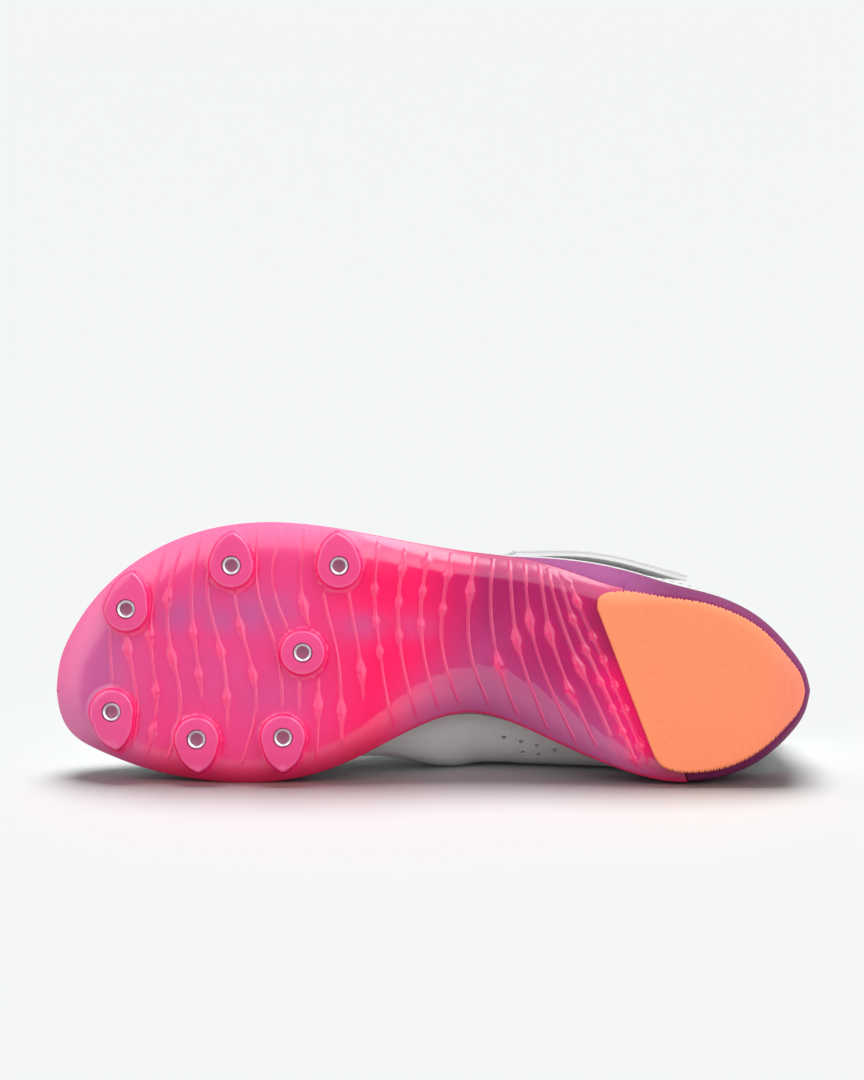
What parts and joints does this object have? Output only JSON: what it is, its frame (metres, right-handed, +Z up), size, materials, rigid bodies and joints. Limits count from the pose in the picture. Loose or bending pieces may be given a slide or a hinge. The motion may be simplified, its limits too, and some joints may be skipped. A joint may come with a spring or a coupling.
{
  "type": "long jump spike",
  "caption": "Left track shoe lying on its inner side: curved ribbed spike plate with empty steel wells, rubber heel pad, foam midsole and a strapped textile upper.",
  "frame": {"origin": "centre of the bottom face of the bounding box, on the floor that the shoe lies on", "axes": "+X along the shoe from toe to heel, +Y from the sole towards the collar, +Z up"},
  "size_m": [0.2828, 0.1014, 0.0954],
  "materials": {
    "plate": "gloss, slightly translucent pink",
    "pad": "matt orange",
    "foam": "matt purple foam",
    "lining": "matt grey textile",
    "textile": "matt white textile",
    "strap": "matt white synthetic",
    "cord": "matt white woven cord",
    "steel": "turned"
  },
  "bodies": {
    "root": {"outsole_plate": "plate", "heel_pad": "pad", "midsole": "foam", "insole": "lining", "upper": "textile", "tongue": "textile", "lace": "cord", "strap": "strap", "spike_insert_1": "steel", "spike_insert_2": "steel", "spike_insert_3": "steel", "spike_insert_4": "steel", "spike_insert_5": "steel", "spike_insert_6": "steel", "spike_insert_7": "steel"}
  },
  "joints": []
}
